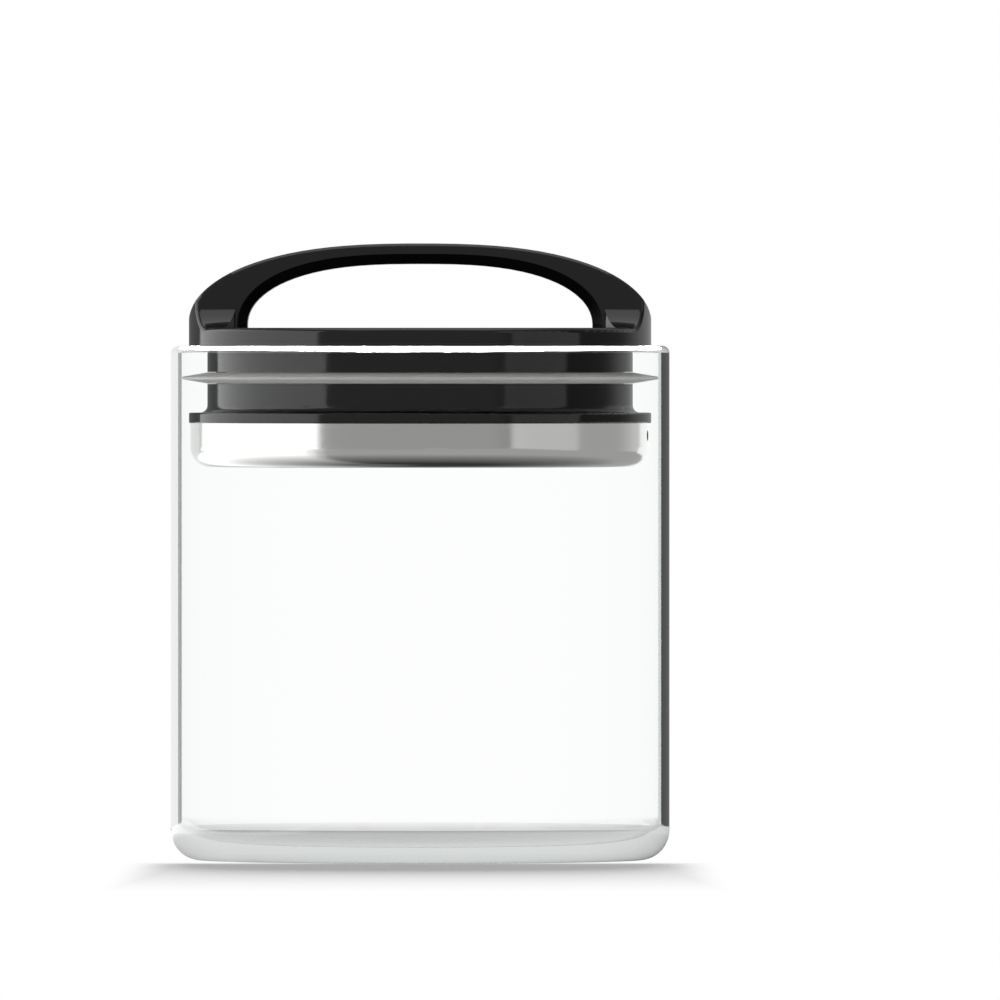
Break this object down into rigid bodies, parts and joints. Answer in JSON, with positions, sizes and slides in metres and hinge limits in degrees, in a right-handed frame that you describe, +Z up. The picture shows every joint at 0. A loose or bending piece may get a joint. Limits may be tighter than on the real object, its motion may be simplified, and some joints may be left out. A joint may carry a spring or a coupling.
{
  "type": "vacuum food canister",
  "caption": "Round glass food canister with a push-down plunger lid: an arched handle, a sealing ring and air valves keep the stored food from the air.",
  "frame": {"origin": "centre of the jar's foot, on the plane that it stands on", "axes": "+Z up along the jar's axis, X along the handle, the front faces -Y"},
  "size_m": [0.1, 0.1, 0.1236],
  "materials": {
    "soda_lime_glass": "clear, fire polished",
    "grey_silicone": "smooth matt",
    "black_plastic": "satin moulded",
    "stainless_steel": "bright, drawn sheet",
    "brass": "machined",
    "white_plastic": "moulded",
    "white_silicone": "matt",
    "plated_steel": "plated",
    "spring_steel": "drawn wire"
  },
  "bodies": {
    "jar": {"glass_jar": "soda_lime_glass"},
    "seal": {"seal_ring": "grey_silicone"},
    "plunger": {"piston_body": "black_plastic", "base_cup": "stainless_steel", "valve_bridge": "white_plastic", "guide_bush": "white_plastic", "bridge_screws": "plated_steel", "exhaust_cage": "white_plastic", "return_spring": "spring_steel"},
    "handle": {"handle_cover": "black_plastic", "boss_insert": "brass", "release_valve": "white_plastic", "release_gasket": "white_silicone", "stem_washer": "plated_steel", "stem_screw": "plated_steel"},
    "exhaust_disc": {"exhaust_valve": "white_silicone"}
  },
  "joints": [
    {"name": "lid_slide", "type": "slide", "parent": "jar", "child": "seal", "axis": [0, 0, 1], "range_m": [-0.0749, 0.1]},
    {"name": "lid_turn", "type": "hinge", "parent": "seal", "child": "plunger", "pos_m": [0, 0, 0.09665], "axis": [0, 0, 1], "continuous": true},
    {"name": "handle_lift", "type": "slide", "parent": "plunger", "child": "handle", "axis": [0, 0, 1], "range_m": [0, 0.003], "stiffness_N_per_m": 400, "springref_m": -0.008, "deforming": ["return_spring"]},
    {"name": "exhaust_lift", "type": "slide", "parent": "plunger", "child": "exhaust_disc", "axis": [0, 0, 1], "range_m": [0, 0.0015]}
  ]
}
